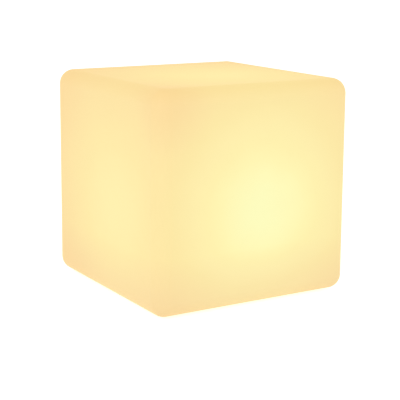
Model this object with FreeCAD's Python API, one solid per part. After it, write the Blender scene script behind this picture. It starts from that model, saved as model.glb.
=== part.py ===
import FreeCAD, Part
import math
import os

from FreeCAD import Vector

# Cordless LED cube light: a hollow, rotationally moulded polyethylene cube with rounded edges, lit
# from its middle by a sealed module that is screwed into a square recess in its underside.
# Millimetres, +Z up. The origin is on the ground, in the middle of the footprint, and -Y is the front.
# The module is built up from below: bottom cover with its button and charging port, control board,
# base plate and tube in one moulding, two upright cells, heat spreader, LED board and opal cap.

# ---------------------------------------------------------------- driving dimensions
# Shell
shell_width = 200.0  # across the bottom
shell_height = 195.0
side_lean = 0.7  # each side leans in this much towards the top, the mould's draft
edge_radius = 13.5
shell_wall = 3.0
recess_depth = 16.0  # from the shell's underside up to the seat of the module
recess_rim = 3.0  # chamfer of the recess's mouth

# Feet, glued to the underside
foot_radius = 8.0
foot_stand = 2.0  # how far they hold the shell off the ground
foot_margin = 6.5  # flat left between a foot and the rounded edge

# Hexagonal threaded inserts, moulded into bosses on the recess's floor
insert_radius = 4.2  # over the corners
insert_length = 8.0
insert_cover = 3.0  # polyethylene round an insert

# Module body: base plate and square tube in one moulding
tube_half = 38.0  # half the tube's width
tube_corner = 8.0
tube_wall = 2.4
base_thickness = 4.0
base_corner = 8.0
base_margin = 2.2  # plate outside a module screw's head
base_opening_half = 29.5  # the control board and the cell trays go in through it
base_opening_cut = 6.0  # its cut corners
guide_rib_width = 2.0
guide_rib_place = 15.0
seal_width = 2.6
seal_thickness = 1.5
seal_margin = 1.0

# Bottom cover, screwed on below the base plate
cover_thickness = 3.0
cover_corner = 6.0
cover_margin = 1.2  # cover outside a cover screw's head
cover_seal_width = 2.0
cover_seal_thickness = 0.7

# Power button and its switch
button_radius = 7.0
button_proud = 0.8
button_travel = 0.5
button_offset = 13.0  # behind the middle
button_collar = 1.4  # width of the square collar that keeps the button in
button_collar_thickness = 1.6
switch_side = 6.0
switch_height = 3.5
plunger_side = 3.0
plunger_height = 0.9  # outside the switch
plunger_root = 1.0  # inside the switch

# Charging port
port_width = 8.94
port_height = 3.16
port_length = 7.3
port_metal = 0.3
port_back = 1.5
port_tongue_width = 6.7
port_tongue_thickness = 0.7
port_tongue_setback = 1.6  # of the tongue's end from the mouth
port_offset = 15.0  # in front of the middle

# Flap over the charging port
port_recess_margin = 2.0
flap_lip = 1.0  # how far the flap's lip goes into the port
flap_lip_gap = 0.4
flap_strap_thickness = 0.9
flap_strap_width = 7.0
flap_strap_length = 3.2
flap_tab_length = 2.4
flap_tab_width = 5.0
nail_room = 2.0  # in front of the tab
nail_depth = 0.6  # above the tab
anchor_stem = 2.8  # side of the square stem
anchor_head = 4.0
anchor_head_thickness = 1.2
anchor_margin = 0.9

# Status light
pipe_radius = 1.5
pipe_offset = 2.3  # in front of the middle
status_led_side = 1.6
status_led_height = 0.8

# Control board and what stands on it
board_half = 22.0
board_cut = 3.0  # its cut corners
board_thickness = 1.6
board_post_side = 5.0
board_post_place = 19.0
board_pin_side = 2.4  # the posts end in pins, which are staked over the board
board_pin_rise = 1.0
inductor_side = 7.0
inductor_height = 3.2
inductor_place = (-10.0, -8.0)
driver_side = 5.0
driver_place = (8.0, -8.0)
charger_side = 4.0
charger_place = (0.0, 2.0)
chip_height = 1.2
capacitor_width = 3.5
capacitor_length = 6.0
capacitor_height = 2.8
capacitor_places = ((16.0, -2.0), (-17.0, 2.0))
part_headroom = 0.8  # over the tallest part

# Battery cells, their contacts and trays
cell_radius = 9.2
cell_length = 50.0
cell_gap = 2.0
contact_thickness = 0.5
contact_width = 7.0
contact_reach = 8.0  # from a cell's axis to the bend of the lower contact
tray_thickness = 2.0
tray_cut = 4.0  # its cut corners
tray_collar_wall = 1.6
tray_collar_height = 8.0
tray_leg_width = 6.0
tray_leg_thickness = 4.0
tray_leg_place = 12.0
pad_side = 12.0
pad_thickness = 2.0

# Heat spreader, LED board and LEDs
spreader_thickness = 2.0
thermal_pad_thickness = 0.5
led_board_half = 28.0
led_board_cut = 4.0
led_board_thickness = 1.6
led_side = 5.0
led_height = 1.6
led_rows = 4
led_pitch = 12.0

# Opal cap
cap_wall = 1.8
cap_rise = 22.0
cap_cut = 6.0  # its cut corners
cap_chamfer = 5.0

# Leads from the control board to the LED board
lead_radius = 0.7
lead_spacing = 3.0
lead_offset = 15.6  # behind the middle
lead_stub = 0.8  # over the LED board, where the lead is soldered

# Screws: thread radius and length under the head. A head goes with the thread's radius.
module_screw_radius = 2.0
module_screw_length = 10.0
cover_screw_radius = 1.5
cover_screw_length = 10.0
cover_screw_wall = 2.4  # plastic round a cover screw
cover_screw_cover = 2.0  # plastic over its end
head_spread = 2.0  # corner radius of a hexagon head for each millimetre of thread radius
head_rise = 1.3  # its height, the same way

# Clearances
fit_gap = 0.05  # moulded-in, glued and screwed pieces
slide_gap = 0.25  # pieces that move, or drop into place
loose_gap = 0.6  # the tube in the shell's opening, the plate in its recess, the trays in the tube

# ---------------------------------------------------------------- places worked out from them
# Heights, from the ground up
shell_bottom = foot_stand
shell_top = shell_bottom + shell_height
seat = shell_bottom + recess_depth
insert_top = seat + insert_length
base_top = seat - seal_thickness
base_bottom = base_top - base_thickness
cover_top = base_bottom - cover_seal_thickness
cover_bottom = cover_top - cover_thickness
button_face = cover_bottom - button_proud
plunger_tip = cover_top + button_collar_thickness
switch_bottom = plunger_tip + plunger_height
board_bottom = switch_bottom + switch_height
board_top = board_bottom + board_thickness
port_mouth = board_bottom - port_length
strap_top = cover_bottom + flap_strap_thickness
tray_floor = board_top + inductor_height + part_headroom
cell_bottom = tray_floor + tray_thickness + contact_thickness
cell_top = cell_bottom + cell_length
upper_floor = cell_top + contact_thickness
spreader_bottom = upper_floor + tray_thickness + pad_thickness
spreader_top = spreader_bottom + spreader_thickness
led_board_bottom = spreader_top + thermal_pad_thickness
led_board_top = led_board_bottom + led_board_thickness
cap_top = spreader_top + cap_rise

# Half widths, from the tube outwards
opening_half = tube_half + loose_gap
seal_inner = opening_half + seal_margin
seal_outer = seal_inner + seal_width
seal_inner_cut = (tube_corner + loose_gap) * (2 - math.sqrt(2))
seal_outer_cut = seal_inner_cut + seal_width * (2 - math.sqrt(2))
seal_reach = (2 * seal_outer - seal_outer_cut) / math.sqrt(2)
module_head_radius = module_screw_radius * head_spread
module_screw_place = (seal_reach + seal_margin + module_head_radius) / math.sqrt(2)
base_half = module_screw_place + module_head_radius + base_margin
recess_half = base_half + loose_gap
recess_corner = base_corner + loose_gap

# Half widths, from the tube inwards
bore_half = tube_half - tube_wall
tray_half = base_opening_half - loose_gap
cover_seal_inner = base_opening_half + seal_margin
cover_seal_outer = cover_seal_inner + cover_seal_width
cover_seal_inner_cut = base_opening_cut + seal_margin * (2 - math.sqrt(2))
cover_seal_outer_cut = cover_seal_inner_cut + cover_seal_width * (2 - math.sqrt(2))
cover_seal_reach = (2 * cover_seal_outer - cover_seal_outer_cut) / math.sqrt(2)
cover_hole_radius = cover_screw_radius + slide_gap
cover_screw_place = (cover_seal_reach + seal_margin + cover_hole_radius) / math.sqrt(2)
cover_half = cover_screw_place + cover_screw_radius * head_spread + cover_margin

# Places in plan
foot_place = shell_width / 2 - edge_radius - foot_radius - foot_margin
cell_place = cell_radius + cell_gap / 2
port_recess_width = port_width + 2 * port_recess_margin
port_recess_height = port_height + 2 * port_recess_margin
hinge_y = -port_offset - port_recess_height / 2 - flap_strap_length
anchor_depth = anchor_stem + 2 * anchor_margin
anchor_y = hinge_y - anchor_depth / 2

# An even wall round an edge that is chamfered outside: its inside chamfer is this much smaller
wall_share = shell_wall * (2 - math.sqrt(2))

CORNERS = ((-1, -1), (1, -1), (1, 1), (-1, 1))
SIDES = (-1, 1)


# ---------------------------------------------------------------- plain forms
def disc(radius, bottom, top, x=0.0, y=0.0):
    """Upright round bar between two heights."""
    return Part.makeCylinder(radius, top - bottom, Vector(x, y, bottom))


def block(width, depth, bottom, top, x=0.0, y=0.0):
    """Upright box, centred in plan, between two heights."""
    return Part.makeBox(width, depth, top - bottom, Vector(x - width / 2, y - depth / 2, bottom))


def upright_edges(solid):
    return [edge for edge in solid.Edges if abs(edge.tangentAt(edge.FirstParameter).z) > 0.999]


def square(half, corner, bottom, top):
    """Upright square bar with rounded corners."""
    bar = block(2 * half, 2 * half, bottom, top)
    return bar.makeFillet(corner, upright_edges(bar))


def cut_square(half, cut, bottom, top):
    """Upright square bar with its corners cut off."""
    bar = block(2 * half, 2 * half, bottom, top)
    return bar.makeChamfer(cut, upright_edges(bar))


def slot(width, depth, bottom, top, y=0.0):
    """Upright bar with round ends, wide in X."""
    reach = (width - depth) / 2
    ends = [disc(depth / 2, bottom, top, side * reach, y) for side in SIDES]
    return block(2 * reach, depth, bottom, top, 0, y).multiFuse(ends).removeSplitter()


def hexagon(corner_radius, bottom, top):
    """Upright hexagonal bar."""
    angles = [math.radians(60 * corner) for corner in range(7)]
    corners = [Vector(corner_radius * math.cos(a), corner_radius * math.sin(a), bottom) for a in angles]
    return Part.Face(Part.makePolygon(corners)).extrude(Vector(0, 0, top - bottom))


def at_corners(solid, place):
    """Four copies of a solid from the Z axis, one towards each corner."""
    return [solid.translated(Vector(place * x, place * y, 0)) for x, y in CORNERS]


def chamfered(solid, leg, half, height):
    """A solid with the edges chamfered that lie at one height on a square of one half width."""
    chosen = []
    for edge in solid.Edges:
        box = edge.BoundBox
        reach = max(abs(box.XMin), abs(box.XMax), abs(box.YMin), abs(box.YMax))
        if box.ZLength < 0.001 and abs(box.ZMin - height) < 0.001 and abs(reach - half) < 0.001:
            chosen.append(edge)
    return solid.makeChamfer(leg, chosen)


def screw(radius, length, seat_height):
    """Hexagon-head screw on the Z axis that points up. Its head bears on seat_height."""
    head = hexagon(radius * head_spread, seat_height - radius * head_rise, seat_height)
    return head.fuse(disc(radius, seat_height, seat_height + length))


# ---------------------------------------------------------------- shell and what is fixed to it
def leaning_block(inset):
    """Block with the shell's leaning sides, drawn in by one thickness all round."""
    low = shell_width / 2 - inset - side_lean * inset / shell_height
    high = shell_width / 2 - inset - side_lean * (shell_height - inset) / shell_height
    solid = Part.makeWedge(-low, 0, -low, -high, -high, low, shell_height - 2 * inset, low, high, high)
    solid.rotate(Vector(), Vector(1, 0, 0), 90)
    return solid.translated(Vector(0, 0, shell_bottom + inset))


def shell():
    """Moulded skin of one even wall, with the recess, its opening and the insert bosses."""
    pot_half = recess_half + shell_wall
    pot_top = seat + shell_wall
    pot = square(pot_half, recess_corner + shell_wall, 0, pot_top)
    pot = chamfered(pot, wall_share, pot_half, pot_top)
    boss = hexagon(insert_radius + insert_cover, seat, insert_top + insert_cover)
    pot = pot.multiFuse(at_corners(boss, module_screw_place))
    cavity = leaning_block(shell_wall)
    cavity = cavity.makeChamfer((edge_radius - shell_wall) * (2 - math.sqrt(2)), cavity.Edges)
    cavity = chamfered(cavity.cut(pot), recess_rim - wall_share, pot_half, shell_bottom + shell_wall)

    skin = leaning_block(0)
    skin = skin.makeFillet(edge_radius, skin.Edges).cut(square(recess_half, recess_corner, 0, seat))
    skin = chamfered(skin, recess_rim, recess_half, shell_bottom)
    insert_hole = hexagon(insert_radius + fit_gap, seat, insert_top)
    holes = [cavity, square(opening_half, tube_corner + loose_gap, seat, pot_top)]
    return skin.cut(holes + at_corners(insert_hole, module_screw_place))


def thread_inserts():
    bore = disc(module_screw_radius + fit_gap, seat, insert_top)
    return at_corners(hexagon(insert_radius, seat, insert_top).cut(bore), module_screw_place)


def rubber_feet():
    return at_corners(disc(foot_radius, 0, foot_stand), foot_place)


# ---------------------------------------------------------------- module body and its fixings
def module_body():
    """Base plate and tube, with columns for the cover screws and ribs that guide the cell trays."""
    bore_top = cover_bottom + cover_screw_length + slide_gap
    column_inside = cover_screw_place - cover_screw_radius - cover_screw_wall
    column_side = tube_half - column_inside
    column = block(column_side, column_side, base_top, bore_top + cover_screw_cover)
    standing = at_corners(column, column_inside + column_side / 2)
    rib_depth = tube_half - base_opening_half
    rib_place = base_opening_half + rib_depth / 2
    rib_top = upper_floor + tray_thickness
    side_rib = block(rib_depth, guide_rib_width, base_top, rib_top, rib_place, guide_rib_place)
    end_rib = block(guide_rib_width, rib_depth, base_top, rib_top, guide_rib_place, rib_place)
    for turn in range(0, 360, 180):
        for rib in (side_rib, end_rib):
            turned = rib.rotated(Vector(), Vector(0, 0, 1), turn)
            standing += [turned, turned.mirror(Vector(), Vector(1, 0, 0))]
    room = square(bore_half, tube_corner - tube_wall, base_top, spreader_bottom).cut(standing)

    plate = square(base_half, base_corner, base_bottom, base_top)
    body = plate.fuse(square(tube_half, tube_corner, base_top, spreader_bottom))
    holes = [room, cut_square(base_opening_half, base_opening_cut, base_bottom, base_top)]
    holes += at_corners(disc(module_screw_radius + slide_gap, base_bottom, base_top), module_screw_place)
    holes += at_corners(disc(cover_screw_radius + fit_gap, base_bottom, bore_top), cover_screw_place)
    return body.cut(holes).removeSplitter()


def module_seal():
    outside = cut_square(seal_outer, seal_outer_cut, base_top, seat)
    return outside.cut(cut_square(seal_inner, seal_inner_cut, base_top, seat))


def module_screws():
    return at_corners(screw(module_screw_radius, module_screw_length, base_bottom), module_screw_place)


# ---------------------------------------------------------------- bottom cover
def bottom_cover():
    """Cover with the board's posts, the button's hole, and the port's recess and flap channel."""
    cover = square(cover_half, cover_corner, cover_bottom, cover_top)
    post = block(board_post_side, board_post_side, cover_top, board_bottom)
    pin = block(board_pin_side, board_pin_side, board_bottom, board_top + board_pin_rise)
    cover = cover.multiFuse(at_corners(post.fuse(pin), board_post_place))

    tab_start = port_recess_height / 2 - port_offset
    tab_room = flap_tab_length + nail_room
    channel_end = anchor_y - anchor_depth / 2 - slide_gap
    channel_length = -port_offset - channel_end
    stem_hole = anchor_stem + 2 * fit_gap
    holes = [
        disc(button_radius, cover_bottom, cover_top, 0, button_offset),
        disc(pipe_radius + fit_gap, cover_bottom, cover_top, 0, -pipe_offset),
        slot(port_width + 2 * slide_gap, port_height + 2 * slide_gap,
             cover_bottom, cover_top, -port_offset),
        slot(port_recess_width, port_recess_height, cover_bottom, port_mouth, -port_offset),
        block(flap_strap_width + 2 * slide_gap, channel_length, cover_bottom, strap_top,
              0, channel_end + channel_length / 2),
        block(flap_tab_width + 2 * nail_room, tab_room + port_height,
              cover_bottom, strap_top + nail_depth, 0, tab_start + (tab_room - port_height) / 2),
        block(stem_hole, stem_hole, cover_bottom, cover_top, 0, anchor_y),
    ]
    holes += at_corners(disc(cover_hole_radius, cover_bottom, cover_top), cover_screw_place)
    return cover.cut(holes).removeSplitter()


def cover_seal():
    outside = cut_square(cover_seal_outer, cover_seal_outer_cut, cover_top, base_bottom)
    return outside.cut(cut_square(cover_seal_inner, cover_seal_inner_cut, cover_top, base_bottom))


def cover_screws():
    return at_corners(screw(cover_screw_radius, cover_screw_length, cover_bottom), cover_screw_place)


# ---------------------------------------------------------------- power button and switch
def power_button():
    """Rubber button with a square collar that keeps it in and stops it from turning."""
    collar_side = 2 * (button_radius + button_collar)
    cap = disc(button_radius - slide_gap, button_face, cover_top, 0, button_offset)
    return cap.fuse(block(collar_side, collar_side, cover_top, plunger_tip, 0, button_offset))


def push_switch():
    body = block(switch_side, switch_side, switch_bottom, board_bottom, 0, button_offset)
    room_top = switch_bottom + plunger_root + button_travel + slide_gap
    room_side = plunger_side + 2 * slide_gap
    return body.cut(block(room_side, room_side, switch_bottom, room_top, 0, button_offset))


def switch_plunger():
    return block(plunger_side, plunger_side, plunger_tip, switch_bottom + plunger_root, 0, button_offset)


# ---------------------------------------------------------------- charging port and flap
def charge_port():
    """Metal shell of the charging port."""
    outside = slot(port_width, port_height, port_mouth, board_bottom, -port_offset)
    bore_width = port_width - 2 * port_metal
    bore_height = port_height - 2 * port_metal
    return outside.cut(slot(bore_width, bore_height, port_mouth, board_bottom, -port_offset))


def port_tongue():
    """Plastic back of the charging port, with the tongue that carries its contacts."""
    back_bottom = board_bottom - port_back
    side_gap = port_metal + fit_gap
    back = block(port_width - port_height, port_height - 2 * side_gap,
                 back_bottom, board_bottom, 0, -port_offset)
    tongue = block(port_tongue_width, port_tongue_thickness,
                   port_mouth + port_tongue_setback, back_bottom, 0, -port_offset)
    return back.fuse(tongue)


def port_flap():
    """Lid in the port's recess, with a lip, a finger tab, and the strap up to its bending line."""
    lid = slot(port_recess_width - 2 * slide_gap, port_recess_height - 2 * slide_gap,
               cover_bottom, port_mouth, -port_offset)
    strap_length = -port_offset - hinge_y
    strap = block(flap_strap_width, strap_length, cover_bottom, strap_top, 0, hinge_y + strap_length / 2)
    tab_reach = port_recess_height / 2 - slide_gap + flap_tab_length
    tab = block(flap_tab_width, tab_reach, cover_bottom, strap_top, 0, tab_reach / 2 - port_offset)
    lip_gap = port_metal + flap_lip_gap
    lip = slot(port_width - 2 * lip_gap, port_height - 2 * lip_gap,
               cover_bottom, port_mouth + flap_lip, -port_offset)
    return lid.multiFuse([strap, tab, lip]).removeSplitter()


def flap_anchor():
    """Fixed end of the flap: its strap's root, and a stem with a head that snaps through the cover."""
    root = block(flap_strap_width, anchor_depth, cover_bottom, strap_top, 0, anchor_y)
    stem = block(anchor_stem, anchor_stem, strap_top, cover_top, 0, anchor_y)
    head = block(anchor_head, anchor_head, cover_top, cover_top + anchor_head_thickness, 0, anchor_y)
    return root.multiFuse([stem, head])


# ---------------------------------------------------------------- status light
def status_pipe():
    pipe_top = board_bottom - status_led_height - slide_gap
    return disc(pipe_radius, cover_bottom, pipe_top, 0, -pipe_offset)


def status_led():
    return block(status_led_side, status_led_side / 2, board_bottom - status_led_height, board_bottom,
                 0, -pipe_offset)


# ---------------------------------------------------------------- control board
def control_board():
    """Board with a hole for each pin of the cover's posts."""
    hole_side = board_pin_side + 2 * fit_gap
    hole = block(hole_side, hole_side, board_bottom, board_top)
    board = cut_square(board_half, board_cut, board_bottom, board_top)
    return board.cut(at_corners(hole, board_post_place))


def board_parts():
    """Inductor, LED driver, charge controller and two capacitors, on the board's upper side."""
    inductor_top = board_top + inductor_height
    inductor = block(inductor_side, inductor_side, board_top, inductor_top, *inductor_place)
    inductor = inductor.makeChamfer(inductor_side / 5, upright_edges(inductor))
    chip_top = board_top + chip_height
    driver = block(driver_side, driver_side, board_top, chip_top, *driver_place)
    charger = block(charger_side, charger_side, board_top, chip_top, *charger_place)
    capacitor_top = board_top + capacitor_height
    capacitors = [block(capacitor_width, capacitor_length, board_top, capacitor_top, x, y)
                  for x, y in capacitor_places]
    return [inductor, driver, charger] + capacitors


# ---------------------------------------------------------------- cells
def lead_passage(bottom, top):
    """Opening for the two leads."""
    return block(lead_spacing + 4 * lead_radius, 4 * lead_radius, bottom, top, 0, lead_offset)


def cell_tray(floor, collar_bottom):
    """Square plate with a square pocket for each cell, pierced for the leads."""
    collar_top = collar_bottom + tray_collar_height
    pocket_side = 2 * (cell_radius + slide_gap)
    collar_depth = pocket_side + 2 * tray_collar_wall
    collar = block(2 * cell_place + collar_depth, collar_depth, collar_bottom, collar_top)
    pockets = [block(pocket_side, pocket_side, collar_bottom, collar_top, side * cell_place)
               for side in SIDES]
    plate = cut_square(tray_half, tray_cut, floor, floor + tray_thickness)
    return plate.cut(lead_passage(floor, floor + tray_thickness)).fuse(collar.cut(pockets))


def lower_tray():
    """Tray that stands with four legs on the bottom cover, with a slot for each lower contact."""
    leg_place = tray_half - tray_leg_thickness / 2
    legs = [block(tray_leg_thickness, tray_leg_width, cover_top, tray_floor,
                  x * leg_place, y * tray_leg_place) for x, y in CORNERS]
    tray = cell_tray(tray_floor, tray_floor + tray_thickness).multiFuse(legs)
    contact_slots = [
        block(contact_width + 2 * slide_gap, contact_thickness + 2 * slide_gap, tray_floor,
              tray_floor + tray_thickness, side * cell_place, contact_reach + contact_thickness / 2)
        for side in SIDES
    ]
    return tray.cut(contact_slots).removeSplitter()


def upper_tray():
    """Tray over the cells, with a channel between its pockets for the upper contact."""
    tray = cell_tray(upper_floor, upper_floor - tray_collar_height)
    return tray.cut(block(2 * cell_place, contact_width + 2 * slide_gap, cell_top, upper_floor))


def battery_cells():
    return [disc(cell_radius, cell_bottom, cell_top, side * cell_place) for side in SIDES]


def lower_contacts():
    """A strip under each cell, bent down through the tray to the control board."""
    contacts = []
    for side in SIDES:
        x = side * cell_place
        strip_bottom = cell_bottom - contact_thickness
        strip = block(contact_width, 2 * contact_reach - contact_width, strip_bottom, cell_bottom,
                      x, contact_width / 2)
        leg = block(contact_width, contact_thickness, board_top, cell_bottom,
                    x, contact_reach + contact_thickness / 2)
        contacts.append(strip.fuse(leg).removeSplitter())
    return contacts


def upper_contact():
    """One strip over both cells, which joins them in series."""
    return block(2 * cell_place + contact_width, contact_width, cell_top, upper_floor)


def cell_pads():
    bottom = upper_floor + tray_thickness
    return [block(pad_side, pad_side, bottom, spreader_bottom, side * cell_place) for side in SIDES]


# ---------------------------------------------------------------- light
def heat_spreader():
    """Aluminium plate between the tube and the opal cap, which are bonded to it."""
    return square(tube_half, tube_corner, spreader_bottom, spreader_top).cut(
        lead_passage(spreader_bottom, spreader_top))


def thermal_pad():
    pad = cut_square(led_board_half, led_board_cut, spreader_top, led_board_bottom)
    return pad.cut(lead_passage(spreader_top, led_board_bottom))


def led_board():
    board = cut_square(led_board_half, led_board_cut, led_board_bottom, led_board_top)
    return board.cut(lead_passage(led_board_bottom, led_board_top))


def leds():
    """Square grid of LEDs."""
    places = [led_pitch * (number - (led_rows - 1) / 2) for number in range(led_rows)]
    led = block(led_side, led_side, led_board_top, led_board_top + led_height)
    return [led.translated(Vector(x, y, 0)) for x in places for y in places]


def cap_form(inset):
    """Inside or outside of the opal cap."""
    half = tube_half - inset
    less = inset * (2 - math.sqrt(2))
    form = cut_square(half, cap_cut - less, spreader_top, cap_top - inset)
    return chamfered(form, cap_chamfer - less, half, cap_top - inset)


def light_cap():
    return cap_form(0).cut(cap_form(cap_wall))


def lead(side):
    """Stiff lead that rises past the cells from the control board to the LED board."""
    return disc(lead_radius, board_top, led_board_top + lead_stub, side * lead_spacing / 2, lead_offset)


# ---------------------------------------------------------------- the parts, in the order of assembly
NODES = {
    "shell": shell,
    "thread_inserts": thread_inserts,
    "rubber_feet": rubber_feet,
    "module_body": module_body,
    "module_seal": module_seal,
    "module_screws": module_screws,
    "bottom_cover": bottom_cover,
    "cover_seal": cover_seal,
    "cover_screws": cover_screws,
    "power_button": power_button,
    "push_switch": push_switch,
    "switch_plunger": switch_plunger,
    "charge_port": charge_port,
    "port_tongue": port_tongue,
    "port_flap": port_flap,
    "flap_anchor": flap_anchor,
    "status_pipe": status_pipe,
    "status_led": status_led,
    "control_board": control_board,
    "board_parts": board_parts,
    "lower_tray": lower_tray,
    "upper_tray": upper_tray,
    "battery_cells": battery_cells,
    "lower_contacts": lower_contacts,
    "upper_contact": upper_contact,
    "cell_pads": cell_pads,
    "heat_spreader": heat_spreader,
    "thermal_pad": thermal_pad,
    "led_board": led_board,
    "leds": leds,
    "light_cap": light_cap,
    "positive_lead": lambda: lead(1),
    "negative_lead": lambda: lead(-1),
}

os.makedirs("parts", exist_ok=True)
for name, build in NODES.items():
    made = build()
    if isinstance(made, list):
        made = Part.makeCompound(made)
    made.exportStep(f"parts/{name}.step")
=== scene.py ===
"""Cordless LED cube light: the visible pieces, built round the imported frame.

Metres, +Z up, the origin on the ground in the middle of the footprint, -Y in front. The sections follow the
lamp as it is put together: the moulded shell and what is fixed to it, the light module from its bottom cover
up to its opal cap, and then the studio and the camera.
"""

import math

import bmesh
import bpy
from mathutils import Matrix, Vector


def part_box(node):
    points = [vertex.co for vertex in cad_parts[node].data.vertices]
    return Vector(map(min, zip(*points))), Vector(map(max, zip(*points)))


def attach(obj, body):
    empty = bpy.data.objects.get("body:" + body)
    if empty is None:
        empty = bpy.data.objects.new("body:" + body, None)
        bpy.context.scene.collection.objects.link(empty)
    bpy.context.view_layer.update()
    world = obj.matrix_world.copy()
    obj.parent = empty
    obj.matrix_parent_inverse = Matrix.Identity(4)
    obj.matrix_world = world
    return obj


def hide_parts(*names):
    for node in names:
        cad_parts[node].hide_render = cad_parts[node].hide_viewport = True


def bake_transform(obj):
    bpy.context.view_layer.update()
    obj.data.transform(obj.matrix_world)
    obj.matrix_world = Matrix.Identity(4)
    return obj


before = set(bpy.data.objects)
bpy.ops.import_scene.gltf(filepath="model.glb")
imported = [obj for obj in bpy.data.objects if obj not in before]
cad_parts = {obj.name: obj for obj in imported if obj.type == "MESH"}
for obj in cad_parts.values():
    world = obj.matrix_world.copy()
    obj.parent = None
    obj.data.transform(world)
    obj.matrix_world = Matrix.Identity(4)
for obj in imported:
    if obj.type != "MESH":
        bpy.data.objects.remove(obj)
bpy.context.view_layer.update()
MM = 0.001

# ---------------------------------------------------------------- shell
# The one piece that shows: a hollow cube of natural polyethylene, spun in a hot mould, so that its wall is
# about 3 mm everywhere, also round the recess that takes the module. The mould was sand-blasted, so the skin
# is matt with a fine orange peel. Lit from inside, it is brightest where the light is nearest.
hair = 0.001 * MM  # places nearer than this are one
shell_low, shell_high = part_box("shell")
shell_height = shell_high.z - shell_low.z
shell_half = 100.0 * MM  # at the bottom
side_lean = 0.7 * MM
edge_radius = 13.5 * MM
shell_wall = 3.0 * MM
side_sink = 0.25 * MM  # the middle of a side has shrunk this much inside its edges
recess_half = 49.26 * MM
recess_corner = 8.6 * MM
recess_rim = 3.0 * MM  # radius of its mouth
recess_fillet = 1.2 * MM  # between its wall and its seat
recess_flange = 8.0 * MM  # flat kept whole round it
recess_seat = 18.0 * MM
opening_half = 38.6 * MM
insert_place = 42.07 * MM
insert_radius = 4.25 * MM
insert_length = 8.0 * MM
light_centre = Vector((6.0, -24.0, 86.0)) * MM  # what the glow on the faces points back to
glow_near = 75.0 * MM  # the brightest glow, as far from the light as the front face is
glow_far = 175.0 * MM
dim_glow_corner = Vector((-85.0, -100.0, 183.0)) * MM  # the glow is painted dimmer round this corner
dim_glow_reach = 43.0 * MM
dim_glow_loss = 15.0 * MM  # it counts as this much farther from the light
shaded_height = 55.0 * MM  # below this the module keeps some light off the sides
shaded_loss = 28.0 * MM


def smooth_object(bm, name, body, material, stands_for=(), sharp=35.0):
    """Makes the finished bmesh an object that takes the place of its CAD nodes and rides on its body. A
    piece that bends between two bodies is given none here."""
    mesh = bpy.data.meshes.new(name)
    bm.to_mesh(mesh)
    bm.free()
    mesh.shade_smooth()
    mesh.set_sharp_from_angle(angle=math.radians(sharp))
    mesh.materials.append(material)
    piece = bpy.data.objects.new(name, mesh)
    bpy.context.scene.collection.objects.link(piece)
    if body:
        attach(piece, body)
    if stands_for:
        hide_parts(*stands_for)
    return piece


def thin_wall(piece, thickness):
    """Gives an open skin its wall, on the inside."""
    wall = piece.modifiers.new("Wall", "SOLIDIFY")
    wall.thickness = thickness
    wall.offset = -1
    wall.use_even_offset = True
    wall.use_quality_normals = True


def weigh_normals(piece):
    """Flat faces keep flat shading right up to their rounded edges."""
    weighted = piece.modifiers.new("Flats stay flat", "WEIGHTED_NORMAL")
    weighted.keep_sharp = True
    weighted.weight = 80


class Nodes:
    """A node tree, with short calls for its sums."""

    def __init__(self, tree):
        self.tree = tree

    def link(self, start, end):
        self.tree.links.new(start, end)

    def put(self, socket, value):
        if isinstance(value, bpy.types.NodeSocket):
            self.link(value, socket)
        else:
            socket.default_value = value

    def math(self, operation, first, second=0.0, third=0.0):
        node = self.tree.nodes.new("ShaderNodeMath")
        node.operation = operation
        for socket, value in zip(node.inputs, (first, second, third)):
            self.put(socket, value)
        return node.outputs[0]

    def spread(self, value, low, high, to_low=0.0, to_high=1.0):
        """Maps a range onto another, held at both ends."""
        node = self.tree.nodes.new("ShaderNodeMapRange")
        for socket, number in zip(node.inputs, (value, low, high, to_low, to_high)):
            self.put(socket, number)
        return node.outputs[0]


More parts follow.
